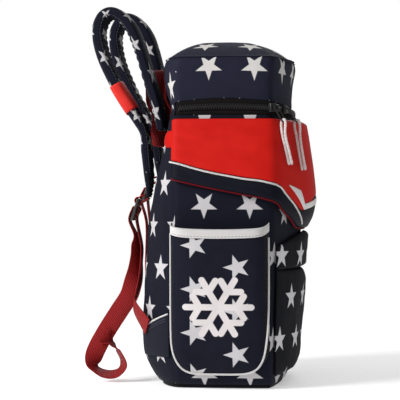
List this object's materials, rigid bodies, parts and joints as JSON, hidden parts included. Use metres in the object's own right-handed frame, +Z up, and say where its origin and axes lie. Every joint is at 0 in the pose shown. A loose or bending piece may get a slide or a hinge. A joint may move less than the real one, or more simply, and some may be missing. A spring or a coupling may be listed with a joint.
{
  "type": "glove backpack",
  "caption": "Upright padded backpack for sports gloves: domed zip lid, moulded foam wrap, open side pockets, front pocket and padded shoulder straps.",
  "frame": {"origin": "middle of the underside of the base panel", "axes": "+X to the bag's front, +Y to the wearer's right, +Z up"},
  "size_m": [0.3091, 0.3372, 0.5087],
  "materials": {
    "navy_cloth": "woven",
    "coated_cloth": "coated",
    "zip_tape": "woven",
    "moulded_plastic": "satin",
    "red_foam": "moulded, laminated",
    "navy_foam": "moulded, laminated",
    "red_label": "woven",
    "red_webbing": "ribbed weave",
    "lace": "braided",
    "white_trim": "woven"
  },
  "bodies": {
    "root": {"bag_base": "coated_cloth", "bag_body": "navy_cloth", "bag_lid": "navy_cloth", "front_flap": "navy_cloth", "front_pocket": "navy_cloth", "haul_loop": "red_webbing", "ladder_lock_left": "moulded_plastic", "ladder_lock_right": "moulded_plastic", "lid_hinge": "navy_cloth", "pocket_binding_left": "white_trim", "pocket_binding_right": "white_trim", "shoulder_strap_left": "navy_cloth", "shoulder_strap_right": "navy_cloth", "side_pocket_left": "navy_cloth", "side_pocket_right": "navy_cloth", "strap_label": "red_label", "strap_loop_left": "red_webbing", "strap_loop_right": "red_webbing", "strap_webbing_left": "red_webbing", "strap_webbing_right": "red_webbing", "strap_wing_left": "navy_cloth", "strap_wing_right": "navy_cloth", "wrap_band": "navy_foam", "wrap_piping_left": "white_trim", "wrap_piping_right": "white_trim", "wrap_shell": "red_foam", "wrap_tab_left": "red_foam", "wrap_tab_right": "red_foam", "zip_chain": "moulded_plastic", "zip_lace_front": "lace", "zip_lace_rear": "lace", "zip_pull_front": "moulded_plastic", "zip_pull_rear": "moulded_plastic", "zip_slider_front": "moulded_plastic", "zip_slider_rear": "moulded_plastic", "zip_tape": "zip_tape"}
  },
  "joints": []
}
